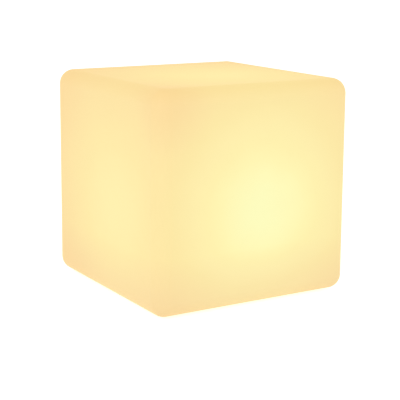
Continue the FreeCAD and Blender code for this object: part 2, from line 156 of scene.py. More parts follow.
class Finish(Nodes):
    """A new material, whose patterns follow the place on the piece. Sockets are named with underscores."""

    def __init__(self, name, **sockets):
        self.material = bpy.data.materials.new(name)
        self.material.use_nodes = True
        super().__init__(self.material.node_tree)
        self.shader = self.tree.nodes["Principled BSDF"]
        self.place = self.tree.nodes.new("ShaderNodeTexCoord").outputs["Object"]
        self.drive(**sockets)

    def drive(self, **sockets):
        """Sets or links the shader's sockets."""
        for socket, value in sockets.items():
            self.put(self.shader.inputs[socket.replace("_", " ")], value)

    def noise(self, per_metre, detail=2.0, roughness=0.5, place=None):
        node = self.tree.nodes.new("ShaderNodeTexNoise")
        self.link(place or self.place, node.inputs["Vector"])
        node.inputs["Scale"].default_value = per_metre
        node.inputs["Detail"].default_value = detail
        node.inputs["Roughness"].default_value = roughness
        return node.outputs["Fac"]

    def stretched(self, *scale):
        """The place on the piece, stretched along its axes."""
        node = self.tree.nodes.new("ShaderNodeMapping")
        self.link(self.place, node.inputs["Vector"])
        node.inputs["Scale"].default_value = scale
        return node.outputs[0]

    def distance(self, point):
        node = self.tree.nodes.new("ShaderNodeVectorMath")
        node.operation = "DISTANCE"
        self.link(self.place, node.inputs[0])
        node.inputs[1].default_value = point
        return node.outputs["Value"]

    def axes(self):
        """X, Y and Z of the place on the piece."""
        node = self.tree.nodes.new("ShaderNodeSeparateXYZ")
        self.link(self.place, node.inputs[0])
        return node.outputs[:]

    def ramp(self, value, *stops):
        """Colours, each at its place from 0 to 1."""
        node = self.tree.nodes.new("ShaderNodeValToRGB")
        self.link(value, node.inputs["Fac"])
        elements = node.color_ramp.elements
        while len(elements) < len(stops):
            elements.new(0.5)
        for element, (at, colour) in zip(elements, stops):
            element.position = at
            element.color = (*colour, 1.0)
        return node.outputs["Color"]

    def mix(self, share, first, second, blend="MIX"):
        node = self.tree.nodes.new("ShaderNodeMix")
        node.data_type = "RGBA"
        node.blend_type = blend
        for socket, value in zip((node.inputs[0], node.inputs[6], node.inputs[7]), (share, first, second)):
            self.put(socket, (*value, 1.0) if isinstance(value, tuple) else value)
        return node.outputs[2]

    def bump(self, height, distance, strength):
        node = self.tree.nodes.new("ShaderNodeBump")
        node.inputs["Strength"].default_value = strength
        node.inputs["Distance"].default_value = distance
        self.link(height, node.inputs["Height"])
        self.drive(Normal=node.outputs[0])


def flat_square(bm, half, corner, height, place=(0, 0), segments=12):
    """A level square face with round corners."""
    at = Matrix.Translation((*place, height)) @ Matrix.Diagonal((half, half, 1, 1))
    corners = bmesh.ops.create_grid(bm, x_segments=1, y_segments=1, size=1, matrix=at)["verts"]
    rounded = bmesh.ops.bevel(
        bm, geom=corners, offset=corner, segments=segments, profile=0.5, affect="VERTICES", material=-1
    )
    return rounded["verts"][0].link_faces[0]


def flat_ring(bm, radius, height, place, segments):
    """A level round face, or one with few sides."""
    at = Matrix.Translation((*place, height))
    circle = bmesh.ops.create_circle(bm, cap_ends=True, segments=segments, radius=radius, matrix=at)
    return circle["verts"][0].link_faces[0]


def raise_face(bm, face, rise):
    """Extrudes one face straight up and gives the face at the end."""
    made = bmesh.ops.extrude_discrete_faces(bm, faces=[face])["faces"][0]
    bmesh.ops.translate(bm, vec=(0, 0, rise), verts=made.verts)
    return made


def at_corners(place):
    """Four places in plan, one towards each corner."""
    return [(x * place, y * place) for x, y in ((-1, -1), (1, -1), (1, 1), (-1, 1))]


def skin_of_shell():
    """The outside of the cube, with its rounded edges and slightly sunken sides."""
    middle = Vector((0, 0, shell_low.z + shell_height / 2))
    bm = bmesh.new()
    bmesh.ops.create_cube(bm, size=2.0)
    bmesh.ops.scale(bm, vec=(shell_half, shell_half, shell_height / 2), verts=bm.verts)
    bmesh.ops.translate(bm, vec=middle, verts=bm.verts)
    share = 1 - side_lean / shell_half
    bmesh.ops.scale(bm, vec=(share, share, 1), verts=[v for v in bm.verts if v.co.z > middle.z])
    bmesh.ops.subdivide_edges(bm, edges=bm.edges, cuts=7, use_grid_fill=True)
    box_edges = [e for e in bm.edges if e.calc_face_angle() > math.radians(45)]
    bmesh.ops.bevel(
        bm, geom=box_edges, offset=edge_radius, segments=14, profile=0.5, affect="EDGES", material=-1
    )
    for vert in bm.verts:
        place = (vert.co - middle) / shell_half
        for axis in range(3):
            one, two = (place[other] for other in range(3) if other != axis)
            hollow = max(0.0, 1 - one ** 2) * max(0.0, 1 - two ** 2)
            vert.co[axis] -= side_sink * hollow * place[axis] ** 5
    return bm


def shell_mesh():
    """The skin with the recess let into its underside, down to the module's opening."""
    bm = skin_of_shell()
    under = [f for f in bm.faces if f.normal.z < -0.999 and f.calc_center_median().z < shell_low.z + 1 * MM]
    bmesh.ops.delete(bm, geom=under, context="FACES")
    for vert in {v for e in bm.edges if e.is_boundary for v in e.verts}:
        vert.co.z = shell_low.z

    mouth = flat_square(bm, recess_half + recess_flange, recess_corner + recess_flange, shell_low.z)
    bmesh.ops.inset_individual(bm, faces=[mouth], thickness=recess_flange, use_even_offset=True)
    seat = raise_face(bm, mouth, recess_seat - shell_low.z)
    walls = [face for edge in seat.edges for face in edge.link_faces if face is not seat]
    rim = [e for wall in walls for e in wall.edges if all(v.co.z < shell_low.z + hair for v in e.verts)]
    for edges, radius in ((rim, recess_rim), (seat.edges[:], recess_fillet)):
        bmesh.ops.bevel(bm, geom=edges, offset=radius, segments=6, profile=0.5, affect="EDGES", material=-1)
    bmesh.ops.triangle_fill(bm, use_beauty=True, edges=[e for e in bm.edges if e.is_boundary])

    level = [f for f in bm.faces if abs(f.calc_center_median().z - recess_seat) < hair]
    seat = max(level, key=lambda face: face.calc_area())
    seat_edges = seat.edges[:]
    opening = flat_square(bm, opening_half, recess_corner, recess_seat)
    seat_edges += opening.edges
    bmesh.ops.delete(bm, geom=[seat, opening], context="FACES_ONLY")
    for place in at_corners(insert_place):
        pocket = flat_ring(bm, insert_radius, recess_seat, place, 6)
        seat_edges += pocket.edges
        raise_face(bm, pocket, insert_length)
    bmesh.ops.triangle_fill(bm, use_beauty=True, edges=seat_edges)
    bmesh.ops.remove_doubles(bm, verts=bm.verts, dist=10 * hair)
    bmesh.ops.recalc_face_normals(bm, faces=bm.faces)
    return bm


def glowing_polyethylene():
    """Matt natural polyethylene, lit from inside: the glow depends on how far away the light is."""
    finish = Finish("Glowing polyethylene", Specular_IOR_Level=0.15, Emission_Strength=1.0)
    across = finish.axes()
    away = finish.distance(light_centre)
    uneven = finish.noise(18.0, 3.0)  # the wall's thickness wanders a little
    away = finish.math("MULTIPLY_ADD", finish.math("SUBTRACT", uneven, 0.5), 10.0 * MM, away)
    # Painted shade: round one top corner of the front face the glow is made dimmer.
    corner_dimming = finish.spread(finish.distance(dim_glow_corner), 0.2 * dim_glow_reach, dim_glow_reach, dim_glow_loss, 0.0)
    shaded = finish.spread(across[2], shell_low.z, shaded_height, shaded_loss, 0.0)
    away = finish.math("ADD", away, finish.math("ADD", corner_dimming, shaded))
    glow = finish.ramp(
        finish.spread(away, glow_near, glow_far),
        (0.00, (0.700, 0.735, 0.380)),
        (0.05, (0.715, 0.705, 0.341)),
        (0.12, (0.720, 0.669, 0.298)),
        (0.20, (0.718, 0.634, 0.271)),
        (0.30, (0.713, 0.608, 0.261)),
        (0.45, (0.700, 0.567, 0.231)),
        (0.60, (0.698, 0.535, 0.219)),
        (0.80, (0.690, 0.496, 0.203)),
        (1.00, (0.689, 0.467, 0.186)),
    )
    # The glow is painted a little yellower on the top than on the sides, and a little pinker at their foot.
    for start, end, tint in (
        (shell_high.z - edge_radius, shell_high.z, (0.99, 0.96, 0.83)),
        (shaded_height, shell_low.z, (0.96, 0.95, 1.06)),
    ):
        tinted = finish.mix(1.0, glow, tint, "MULTIPLY")
        glow = finish.mix(finish.spread(across[2], start, end), glow, tinted)
    # Under the cube the module shades the double wall round the recess.
    reach = finish.math("MAXIMUM", *(finish.math("ABSOLUTE", across[axis]) for axis in (0, 1)))
    from_edge = finish.spread(reach, recess_half, shell_half - 4 * MM)
    from_ground = finish.spread(across[2], recess_seat, 3 * recess_seat)
    lit = finish.math("MAXIMUM", from_edge, from_ground)

    peel = finish.noise(650.0, 3.0)
    finish.drive(
        Emission_Color=finish.mix(lit, (0.36, 0.21, 0.075), glow),
        Base_Color=finish.mix(finish.noise(25.0), (0.290, 0.255, 0.160), (0.310, 0.275, 0.170)),
        Roughness=finish.spread(peel, 0.3, 0.7, 0.50, 0.62),
    )
    finish.bump(peel, 0.05 * MM, 0.5)
    return finish.material


shell = smooth_object(shell_mesh(), "cube_shell", "lamp", glowing_polyethylene(), ["shell"])
thin_wall(shell, shell_wall)
weigh_normals(shell)

# ---------------------------------------------------------------- threaded inserts
# Four hexagonal bars of brass with a threaded bore. They are set on pins in the mould, and the polyethylene
# melts round them, so that the module's screws hold in metal.
def merged_form(*names):
    """The CAD nodes' own form, with its loose triangles joined into whole faces."""
    bm = bmesh.new()
    for name in names:
        bm.from_mesh(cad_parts[name].data)
    bmesh.ops.remove_doubles(bm, verts=bm.verts, dist=hair)
    bmesh.ops.dissolve_limit(bm, angle_limit=math.radians(1), verts=bm.verts, edges=bm.edges)
    return bm


def soften(bm, radius, segments=2):
    """Rounds the sharp edges, as a mould's or a tool's do."""
    sharp = [e for e in bm.edges if len(e.link_faces) == 2 and abs(e.calc_face_angle()) > math.radians(40)]
    bmesh.ops.bevel(
        bm, geom=sharp, offset=radius, segments=segments, profile=0.5, affect="EDGES", material=-1
    )
    return bm


def eased(node, name, body, material, radius, segments=2):
    """A piece with the CAD node's own form, and eased edges."""
    form = soften(merged_form(node), radius, segments)
    return smooth_object(form, name, body, material, [node])


def darker(colour, share):
    return tuple(share * part for part in colour)


def metal(name, colour, roughness=0.3, grain=(1, 1, 1), per_metre=900.0):
    """Bare or plated metal. Its tool marks run along the axes with the smaller grain."""
    finish = Finish(name, Metallic=1.0)
    marks = finish.noise(per_metre, 3.0, place=finish.stretched(*grain))
    dull = finish.noise(60.0, 3.0)
    worn = finish.mix(dull, darker(colour, 0.88), colour)
    uneven = finish.math("MULTIPLY_ADD", dull, 0.12, finish.spread(marks, 0.3, 0.7, -0.06, 0.06))
    finish.drive(Base_Color=finish.mix(marks, darker(colour, 0.80), worn),
                 Roughness=finish.math("ADD", uneven, roughness - 0.06))
    finish.bump(marks, 0.01 * MM, 0.5)
    return finish.material


weigh_normals(eased(
    "thread_inserts", "thread_inserts_brass", "lamp",
    metal("Turned brass", (0.70, 0.50, 0.22), 0.28, grain=(1, 1, 12)), radius=0.15 * MM,
))

# ---------------------------------------------------------------- feet
# Four discs of grey rubber, glued on near the corners. Each is domed over its edge and dished underneath, so
# that it stands on a ring and grips like a weak sucker.
foot_low, foot_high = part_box("rubber_feet")
foot_radius = 8.0 * MM
foot_place = foot_high.x - foot_radius
foot_round = 0.9 * MM
foot_dish = 0.5 * MM


def turned(points, steps=48):
    """A body of revolution on the Z axis, from an outline of (radius, height) that starts and ends on it."""
    bm = bmesh.new()
    outline = [bm.verts.new((radius, 0, height)) for radius, height in points]
    lines = [bm.edges.new(pair) for pair in zip(outline, outline[1:])]
    bmesh.ops.spin(
        bm, geom=outline + lines, cent=(0, 0, 0), axis=(0, 0, 1), angle=math.tau, steps=steps, use_merge=True
    )
    bmesh.ops.remove_doubles(bm, verts=bm.verts, dist=hair)
    bmesh.ops.recalc_face_normals(bm, faces=bm.faces)
    return bm


def arc(radius, height, reach, start, end, points=5):
    """Points of a round in an outline: its centre, its radius and its two angles, from level outwards."""
    for number in range(points):
        angle = math.radians(start + (end - start) * number / (points - 1))
        yield radius + reach * math.cos(angle), height + reach * math.sin(angle)


def whole(bm):
    return bm.verts[:] + bm.edges[:] + bm.faces[:]


def points_of(geometry):
    return [part for part in geometry if isinstance(part, bmesh.types.BMVert)]


def repeated(bm, places):
    """Copies of a form, one at each place in plan."""
    form = whole(bm)
    for x, y in places[1:]:
        copy = bmesh.ops.duplicate(bm, geom=form)["geom"]
        bmesh.ops.translate(bm, vec=(x, y, 0), verts=points_of(copy))
    bmesh.ops.translate(bm, vec=(*places[0], 0), verts=points_of(form))
    return bm


def soft_rubber(name, colour, roughness=0.62, grain=0.02 * MM):
    """Matt moulded rubber or silicone with a trace of dust and bloom."""
    finish = Finish(name, Specular_IOR_Level=0.35)
    bloom = finish.spread(finish.noise(90.0, 4.0, 0.6), 0.35, 0.75)
    dusty = tuple(min(1.0, 1.15 * part + 0.02) for part in colour)
    fine = finish.noise(1500.0, 2.0)
    finish.drive(Base_Color=finish.mix(bloom, colour, dusty),
                 Roughness=finish.spread(fine, 0.3, 0.7, roughness - 0.07, roughness + 0.07))
    finish.bump(fine, grain, 0.5)
    return finish.material


foot_outline = [
    (0, foot_high.z), (foot_radius, foot_high.z),
    *arc(foot_radius - foot_round, foot_low.z + foot_round, foot_round, 0, -90),
    *arc(foot_radius - 3 * foot_round, foot_low.z + foot_dish, foot_dish, -90, -180, 4),
    (0, foot_low.z + foot_dish),
]
smooth_object(
    repeated(turned(foot_outline), at_corners(foot_place)), "rubber_feet_domed", "lamp",
    soft_rubber("Foot rubber", (0.46, 0.46, 0.44)), ["rubber_feet"],
)

# ---------------------------------------------------------------- module body
# One moulding of light grey polycarbonate blend: the base plate that lies in the recess, and the tube that
# stands up through the shell's opening, with columns for the cover's screws and ribs that guide the trays.
def moulded_plastic(name, colour, roughness=0.46, grain=0.03 * MM):
    """Moulded plastic with a spark-eroded grain, slightly uneven in tone and gloss."""
    finish = Finish(name)
    fine = finish.noise(1400.0, 2.5)
    finish.drive(Base_Color=finish.mix(finish.noise(35.0, 3.0), darker(colour, 0.92), colour),
                 Roughness=finish.spread(fine, 0.3, 0.7, roughness - 0.08, roughness + 0.08))
    finish.bump(fine, grain, 0.6)
    return finish.material


weigh_normals(eased(
    "module_body", "module_housing", "lamp",
    moulded_plastic("Housing plastic", (0.71, 0.71, 0.68)), radius=0.4 * MM,
))

# ---------------------------------------------------------------- seals and screws of the module
# A flat ring of black rubber is pressed between the base plate and the shell, by four machine screws of
# stainless steel whose hexagon heads are chamfered and slightly dished. Four smaller ones hold the cover.
seal_rubber = soft_rubber("Seal rubber", (0.035, 0.035, 0.038), 0.5)


def seal_ring(node, width, corner, edge):
    """A flat ring on the node's square, with round corners and eased edges."""
    low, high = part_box(node)
    bm = bmesh.new()
    inside = flat_square(bm, high.x, corner, low.z)
    bmesh.ops.inset_individual(bm, faces=[inside], thickness=width, use_even_offset=True)
    bmesh.ops.delete(bm, geom=[inside], context="FACES_ONLY")
    risen = bmesh.ops.extrude_face_region(bm, geom=bm.faces[:])["geom"]
    bmesh.ops.translate(bm, vec=(0, 0, high.z - low.z), verts=points_of(risen))
    bmesh.ops.recalc_face_normals(bm, faces=bm.faces)
    weigh_normals(smooth_object(
        soften(bm, edge, 3), node + "_ring", "lamp", seal_rubber, [node]
    ))


def close_up(bm):
    """Fills what a cut or an extruded face left open, and points the faces outwards."""
    bmesh.ops.holes_fill(bm, edges=[e for e in bm.edges if e.is_boundary], sides=0)
    bmesh.ops.recalc_face_normals(bm, faces=bm.faces)
    return bm


def join(bm, other):
    """Adds the other form to the first."""
    mesh = bpy.data.meshes.new("Joined form")
    other.to_mesh(mesh)
    other.free()
    bm.from_mesh(mesh)
    bpy.data.meshes.remove(mesh)
    return bm


def hexagon_screw(head_radius, head_low, head_high, thread_radius, thread_end, pitch):
    """A screw that points up. Its head is turned with a chamfer and a dish and cut to a hexagon, and its
    thread is a row of ridges."""
    chamfer, dish = 0.10 * head_radius, 0.13 * head_radius
    bm = turned([
        (0, head_low + dish), (0.45 * head_radius, head_low + chamfer), (0.60 * head_radius, head_low),
        (0.83 * head_radius, head_low), (head_radius, head_low + chamfer), (head_radius, head_high),
        (0, head_high),
    ])
    flat = head_radius * math.cos(math.radians(30))  # from the axis to a side of the hexagon
    for side in range(6):
        angle = math.radians(30 + 60 * side)
        outwards = Vector((math.cos(angle), math.sin(angle), 0))
        bmesh.ops.bisect_plane(
            bm, geom=whole(bm), plane_co=outwards * flat, plane_no=outwards, clear_outer=True, dist=hair
        )
        close_up(bm)
    ridges = int((thread_end - head_high) / pitch)
    core = thread_radius - 0.55 * pitch
    start = thread_end - ridges * pitch
    outline = [(0, head_high - pitch), (core, head_high - pitch), (core, start)]
    for ridge in range(ridges):
        outline += [(thread_radius, start + (ridge + share) * pitch) for share in (0.4, 0.6)]
        outline += [(core, start + (ridge + 1) * pitch)]
    return join(bm, turned(outline + [(0, thread_end)], 28))


seal_ring("module_seal", width=2.6 * MM, corner=11.2 * MM, edge=0.35 * MM)
screw_steel = metal("Stainless steel", (0.56, 0.56, 0.57), 0.26, per_metre=1600.0)
for node, head_radius, thread_radius, pitch in (
    ("module_screws", 4.0 * MM, 2.0 * MM, 0.7 * MM),
    ("cover_screws", 3.0 * MM, 1.5 * MM, 0.6 * MM),
):
    low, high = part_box(node)
    head_high = low.z + 1.3 * thread_radius
    screw = hexagon_screw(head_radius, low.z, head_high, thread_radius, high.z, pitch)
    weigh_normals(smooth_object(
        repeated(screw, at_corners(high.x - head_radius)), node + "_steel", "lamp",
        screw_steel, [node], sharp=30,
    ))

# ---------------------------------------------------------------- bottom cover
# A grey moulded plate that closes the module, on a thin ring of the same rubber. It has a round hole for the
# button, a pocket for the charging port's flap and the channel of its strap, and inside, four posts that
# carry the control board.
cover_plastic = moulded_plastic("Cover plastic", (0.60, 0.60, 0.585), 0.5)
weigh_normals(eased(
    "bottom_cover", "bottom_cover_moulded", "lamp", cover_plastic, radius=0.25 * MM
))
seal_ring("cover_seal", width=2.0 * MM, corner=13.2 * MM, edge=0.15 * MM)

# ---------------------------------------------------------------- power button
# A cap of dark grey rubber, dished for the fingertip inside a raised ring, on a square collar that keeps it
# in the cover. Pressed, it moves up by half a millimetre onto the switch's plunger.
button_low, button_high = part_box("power_button")
button_radius = 6.75 * MM
button_offset = 13.0 * MM
button_round = 0.7 * MM
button_dish = 0.45 * MM
collar_half = 8.4 * MM
collar_corner = 1.0 * MM
collar_low = 11.8 * MM
cap_end = collar_low + 0.2 * MM  # inside the collar


def button_form():
    bm = turned([
        (0, cap_end), (button_radius, cap_end),
        *arc(button_radius - button_round, button_low.z + button_round, button_round, 0, -90),
        *arc(button_radius - 2.4 * button_round, button_low.z + button_dish, button_dish, -90, -160, 4),
        (0.45 * button_radius, button_low.z + button_dish), (0, button_low.z + 0.8 * button_dish),
    ], 64)
    collar = flat_square(bm, collar_half, collar_corner, collar_low, segments=5)
    bmesh.ops.reverse_faces(bm, faces=[collar])
    raise_face(bm, collar, button_high.z - collar_low)
    return repeated(close_up(bm), [(0, button_offset)])


weigh_normals(smooth_object(
    button_form(), "power_button_rubber", "button",
    soft_rubber("Button rubber", (0.075, 0.080, 0.085), 0.55), ["power_button"],
))

# ---------------------------------------------------------------- push switch
# A sealed tactile switch, soldered to the underside of the board: a black housing on four steel legs, and a
# black plunger that the button pushes.
black_plastic = moulded_plastic("Black plastic", (0.022, 0.022, 0.024), 0.38, 0.01 * MM)
plated_steel = metal("Plated steel", (0.50, 0.50, 0.52), 0.24)
switch_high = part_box("push_switch")[1]
leg_place = 2.2 * MM  # from the middle of the switch, along its side
leg_half = 0.35 * MM
leg_thick = 0.2 * MM
leg_drop = 1.0 * MM  # below the board, where it leaves the housing
leg_bend = 0.3 * MM  # outside the housing, where it turns up
leg_reach = 1.2 * MM


def block(bm, corner, opposite):
    """A closed block between two opposite corners."""
    corner, opposite = Vector(corner), Vector(opposite)
    size = [abs(length) for length in opposite - corner]
    at = Matrix.Translation((corner + opposite) / 2) @ Matrix.Diagonal((*size, 1))
    bmesh.ops.create_cube(bm, size=1, matrix=at)


def switch_legs():
    """Four gull-wing legs, from the housing's sides up onto the board."""
    bm = bmesh.new()
    for x, y in at_corners(1):
        edge = x * switch_high.x
        side = button_offset + y * leg_place
        for start, end, low, high in (
            (-leg_thick, leg_bend + leg_thick, leg_drop, leg_drop - leg_thick),
            (leg_bend, leg_bend + leg_thick, leg_drop, 0),
            (leg_bend, leg_reach, leg_thick, 0),
        ):
            block(bm, (edge + x * start, side - leg_half, switch_high.z - low),
                  (edge + x * end, side + leg_half, switch_high.z - high))
    return bm


eased("push_switch", "push_switch_housing", "lamp", black_plastic, radius=0.15 * MM)
eased("switch_plunger", "switch_plunger_post", "plunger", black_plastic,
      radius=0.2 * MM, segments=3)
smooth_object(switch_legs(), "switch_legs", "lamp", plated_steel)

# ---------------------------------------------------------------- charging port
# The inlet's drawn steel shell, open downwards, with a black tongue that carries two rows of gilt contacts.
# It hangs from the underside of the board, into its slot in the cover.
port_offset = 15.0 * MM
tongue_low, tongue_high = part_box("port_tongue")
tongue_half = 0.35 * MM
contact_pitch = 0.5 * MM
contact_half = 0.13 * MM
contact_rise = 0.03 * MM  # and as much is sunk in the tongue
contact_low = tongue_low.z + 0.4 * MM
contact_high = tongue_high.z - 1.7 * MM


def port_contacts():
    bm = bmesh.new()
    for number in range(12):
        x = (number - 5.5) * contact_pitch
        for side in (-1, 1):
            face = -port_offset + side * tongue_half
            block(bm, (x - contact_half, face - contact_rise, contact_low),
                  (x + contact_half, face + contact_rise, contact_high))
    return bm


weigh_normals(eased(
    "charge_port", "charge_port_shell", "lamp", plated_steel, radius=0.08 * MM
))
eased("port_tongue", "port_tongue_moulded", "lamp", black_plastic, radius=0.08 * MM)
smooth_object(port_contacts(), "port_contacts_gilt", "lamp",
              metal("Gilt contacts", (0.80, 0.58, 0.20), 0.2))

# ---------------------------------------------------------------- port flap
# One soft moulding of grey silicone. Its lid and finger tab fill the pocket over the port, its lip goes into
# the port, and its strap, held by a stem and head snapped through the cover, bends where the lid swings out.
hinge_y = -21.78 * MM
bend_length = 2.6 * MM
bend_steps = 8


def flap_form():
    """The lid and its anchor joined at the hinge, with cuts across the strap where it bends."""
    bm = merged_form("port_flap", "flap_anchor")
    meeting = [f for f in bm.faces if all(abs(v.co.y - hinge_y) < 10 * hair for v in f.verts)]
    bmesh.ops.delete(bm, geom=meeting, context="FACES_ONLY")
    bmesh.ops.remove_doubles(bm, verts=bm.verts, dist=10 * hair)
    bmesh.ops.dissolve_limit(bm, angle_limit=math.radians(1), verts=bm.verts, edges=bm.edges)
    soften(bm, 0.2 * MM)
    for step in range(bend_steps + 1):
        cut = (0, hinge_y + bend_length * step / bend_steps, 0)
        bmesh.ops.bisect_plane(bm, geom=whole(bm), plane_co=cut, plane_no=(0, 1, 0), dist=hair)
    bmesh.ops.recalc_face_normals(bm, faces=bm.faces)
    return bm


flap = smooth_object(
    flap_form(), "port_flap_silicone", None,
    soft_rubber("Flap silicone", (0.36, 0.37, 0.37), 0.5), ["port_flap", "flap_anchor"], sharp=40,
)
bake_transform(flap)

# ---------------------------------------------------------------- status light
# A clear acrylic pipe with a domed end, pressed into the cover, which shows a small green light. The light
# is an LED on the underside of the board, over the pipe.
pipe_low, pipe_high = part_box("status_pipe")
pipe_radius = 1.5 * MM
pipe_place = (0, (pipe_low.y + pipe_high.y) / 2)
pipe_ease = 0.2 * MM
pipe_dome = 0.5 * MM


def clear_acrylic():
    finish = Finish("Clear acrylic", Transmission_Weight=0.9, IOR=1.49, Roughness=0.06)
    finish.drive(Base_Color=finish.mix(finish.noise(300.0, 3.0), (0.90, 0.97, 0.92), (0.98, 1.0, 0.98)))
    return finish.material


def phosphor(name, colour, strength):
    """The lit face of an LED, brighter where the grains of its filling lie thick."""
    finish = Finish(name, Roughness=0.4, Emission_Strength=strength)
    grains = finish.noise(3000.0, 2.0)
    finish.drive(Base_Color=finish.mix(grains, darker(colour, 0.85), colour),
                 Emission_Color=finish.mix(grains, darker(colour, 0.9), colour))
    return finish.material


pipe_outline = [
    (0, pipe_high.z), *arc(pipe_radius - pipe_ease, pipe_high.z - pipe_ease, pipe_ease, 90, 0, 4),
    *arc(pipe_radius - pipe_dome, pipe_low.z + pipe_dome, pipe_dome, 0, -70), (0, pipe_low.z),
]
smooth_object(
    repeated(turned(pipe_outline), [pipe_place]), "status_pipe_acrylic", "lamp",
    clear_acrylic(), ["status_pipe"],
)
eased("status_led", "status_led_package", "lamp",
      phosphor("Status light", (0.45, 0.90, 0.40), 0.4), radius=0.08 * MM)

# ---------------------------------------------------------------- control board
# A green glass-epoxy board on the cover's posts, whose pins are staked over it. It charges the cells, drives
# the LEDs and reads the switch, with an inductor, two controllers and two capacitors on its upper side.
board_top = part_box("control_board")[1].z
board_post_place = 19.0 * MM
stake_round = 1.45 * MM
stake_flat = 0.9 * MM  # radius of its top, inside the round
stake_sink = 0.1 * MM  # of the round's centre in the board
driver_half = 2.5 * MM
driver_place = Vector((8.0, -8.0)) * MM
charger_half = 2.0 * MM
charger_place = Vector((0.0, 2.0)) * MM
chip_height = 1.2 * MM
chip_corner = 0.15 * MM
dimple_radius = 0.3 * MM
dimple_depth = 0.1 * MM
dimple_inset = 0.8 * MM  # from two edges of the controller
chip_leg_pitch = 1.1 * MM
chip_leg_half = 0.2 * MM
chip_leg_reach = 0.8 * MM
chip_leg_top = board_top + 0.25 * MM
inductor_half = 3.5 * MM
inductor_corner = 1.4 * MM
inductor_well = 0.75 * inductor_half
inductor_place = Vector((-10.0, -8.0)) * MM
inductor_top = board_top + 3.2 * MM
drum_radius = 0.66 * inductor_half
drum_round = 0.2 * MM
drum_gap = 0.4 * MM  # depth of the groove round it
capacitor_size = Vector((3.5, 6.0, 2.8)) * MM
capacitor_places = (Vector((16.0, -2.0)) * MM, Vector((-17.0, 2.0)) * MM)
capacitor_end = 0.14  # share of its length that each terminal covers


def solder_mask(name, mask, copper, track_width, track_length, gap):
    """Lacquered board: the copper shows through the mask as raised, lighter tracks, with whole areas
    between them."""
    finish = Finish(name, Coat_Weight=0.4, Coat_Roughness=0.2)
    tracks = finish.tree.nodes.new("ShaderNodeTexBrick")
    finish.link(finish.place, tracks.inputs["Vector"])
    for socket, number in (("Scale", 1 / track_width), ("Brick Width", track_length / track_width),
                           ("Row Height", 1.0), ("Mortar Size", gap / track_width), ("Mortar Smooth", 0.2)):
        tracks.inputs[socket].default_value = number
    areas = finish.spread(finish.noise(70.0, 0.0), 0.47, 0.53)
    gaps = finish.math("MULTIPLY", tracks.outputs["Fac"], areas)
    cloth = finish.noise(1200.0, 2.0)
    copper = finish.mix(cloth, darker(copper, 0.93), copper)
    finish.drive(Base_Color=finish.mix(gaps, copper, mask),
                 Roughness=finish.spread(cloth, 0.3, 0.7, 0.28, 0.38))
    finish.bump(finish.math("SUBTRACT", 1.0, gaps), 0.035 * MM, 0.7)
    return finish.material


def welled_block(bm, half, corner, low, high, place, well, well_place, depth, taper=1.0, corner_steps=2):
    """A square block with a round well in its top, which narrows towards its floor."""
    top = flat_square(bm, half, corner, low, place, corner_steps)
    top = raise_face(bm, top, high - low)
    rim = top.edges[:]
    bmesh.ops.delete(bm, geom=[top], context="FACES_ONLY")
    mouth = flat_ring(bm, well, high, well_place, 32)
    rim += mouth.edges
    floor = raise_face(bm, mouth, -depth)
    centre = Matrix.Translation((-well_place[0], -well_place[1], 0))
    bmesh.ops.scale(bm, vec=(taper, taper, 1), space=centre, verts=floor.verts)
    bmesh.ops.triangle_fill(bm, use_beauty=True, edges=rim)
    return close_up(bm)


def controllers():
    """Two moulded packages, each with a dimple at its first leg."""
    bm = bmesh.new()
    for half, place in ((driver_half, driver_place), (charger_half, charger_place)):
        dimple = place + Vector((dimple_inset - half, half - dimple_inset))
        welled_block(bm, half, chip_corner, board_top, board_top + chip_height, place,
                     dimple_radius, dimple, dimple_depth, taper=0.7)
    return bm


def chip_legs():
    """Solder legs along two sides of each controller."""
    bm = bmesh.new()
    for place, half, count in ((driver_place, driver_half, 4), (charger_place, charger_half, 3)):
        for number in range(count):
            x = place.x + (number - (count - 1) / 2) * chip_leg_pitch
            for way in (-1, 1):
                block(bm, (x - chip_leg_half, place.y + way * half, board_top),
                      (x + chip_leg_half, place.y + way * (half + chip_leg_reach), chip_leg_top))
    return bm


def inductor():
    """A square ferrite with cut corners round a drum, which shows as a disc inside a fine gap."""
    ferrite = welled_block(
        bmesh.new(), inductor_half, inductor_corner, board_top, inductor_top, inductor_place,
        inductor_well, inductor_place, drum_gap, corner_steps=1,
    )
    drum = turned([(0, inductor_top - drum_gap), (drum_radius, inductor_top - drum_gap),
                   *arc(drum_radius - drum_round, inductor_top - drum_round, drum_round, 0, 90, 3),
                   (0, inductor_top)], 32)
    return join(ferrite, repeated(drum, [inductor_place]))


def capacitor_slices(*slices, ease=0.0):
    """Slices of each capacitor, each between two shares of its length."""
    bm = bmesh.new()
    half = capacitor_size / 2
    for x, y in capacitor_places:
        for shares in slices:
            start, end = (y + (2 * share - 1) * half.y for share in shares)
            block(bm, (x - half.x + ease, start, board_top),
                  (x + half.x - ease, end, board_top + capacitor_size.z - ease))
    return bm


weigh_normals(eased(
    "control_board", "control_board_mask", "lamp",
    solder_mask("Green solder mask", (0.010, 0.070, 0.030), (0.022, 0.135, 0.055),
                track_width=0.9 * MM, track_length=7.0 * MM, gap=0.11 * MM), radius=0.12 * MM,
))
tin = metal("Tinned copper", (0.68, 0.68, 0.66), 0.3)
smooth_object(controllers(), "board_parts_bodies", "lamp", black_plastic, ["board_parts"])
smooth_object(inductor(), "inductor_ferrite", "lamp",
              moulded_plastic("Ferrite", (0.055, 0.055, 0.060), 0.6, 0.04 * MM))
capacitors = capacitor_slices((capacitor_end, 1 - capacitor_end), ease=0.08 * MM)
smooth_object(soften(capacitors, 0.15 * MM), "capacitor_bodies", "lamp",
              moulded_plastic("Brown ceramic", (0.30, 0.19, 0.11), 0.42, 0.01 * MM))
terminals = capacitor_slices((0.0, capacitor_end), (1 - capacitor_end, 1.0))
smooth_object(soften(terminals, 0.2 * MM, 3), "capacitor_ends", "lamp", tin)
smooth_object(chip_legs(), "chip_legs", "lamp", tin)
